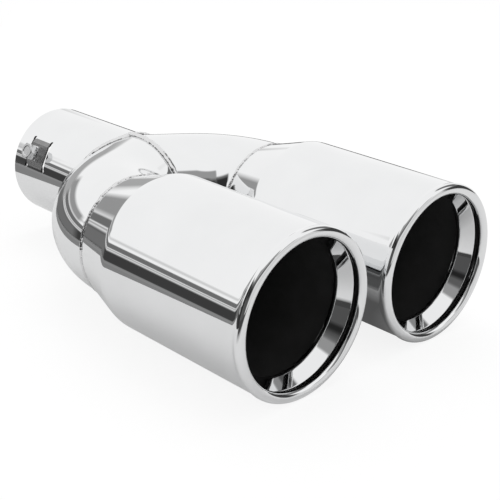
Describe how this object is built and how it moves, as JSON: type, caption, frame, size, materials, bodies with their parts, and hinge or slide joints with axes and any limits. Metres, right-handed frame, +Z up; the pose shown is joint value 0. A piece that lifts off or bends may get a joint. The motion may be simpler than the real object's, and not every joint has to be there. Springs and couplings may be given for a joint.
{
  "type": "exhaust tip",
  "caption": "Polished exhaust tip whose clamped inlet sleeve forks through welded bends into side-by-side round outlets with rolled lips.",
  "frame": {"origin": "centre of the inlet face, on the inlet sleeve's axis", "axes": "+X along the sleeve towards the outlets, +Y towards the left outlet, +Z up when it lies on both tips"},
  "size_m": [0.24, 0.166, 0.077],
  "materials": {
    "polished_steel": "mirror polished stainless sheet",
    "mouth_ring": "mirror polished stainless sheet",
    "weld_bead": "rippled and brushed weld",
    "fasteners": "bright plated steel"
  },
  "bodies": {
    "tip_body": {"inlet_sleeve": "polished_steel", "left_branch": "polished_steel", "right_branch": "polished_steel", "sleeve_weld": "weld_bead", "crotch_weld": "weld_bead", "left_tip_shell": "polished_steel", "right_tip_shell": "polished_steel", "left_tip_weld": "weld_bead", "right_tip_weld": "weld_bead", "left_mouth_ring": "mouth_ring", "right_mouth_ring": "mouth_ring", "left_clamp_nut": "fasteners", "right_clamp_nut": "fasteners"},
    "left_screw": {"left_clamp_screw": "fasteners"},
    "right_screw": {"right_clamp_screw": "fasteners"}
  },
  "joints": [
    {"name": "left_screw_travel", "type": "slide", "parent": "tip_body", "child": "left_screw", "axis": [0, -0.9063, 0.4226], "range_m": [-0.002, 0.00095]},
    {"name": "right_screw_travel", "type": "slide", "parent": "tip_body", "child": "right_screw", "axis": [0, 0.9063, -0.4226], "range_m": [-0.002, 0.00095]}
  ]
}
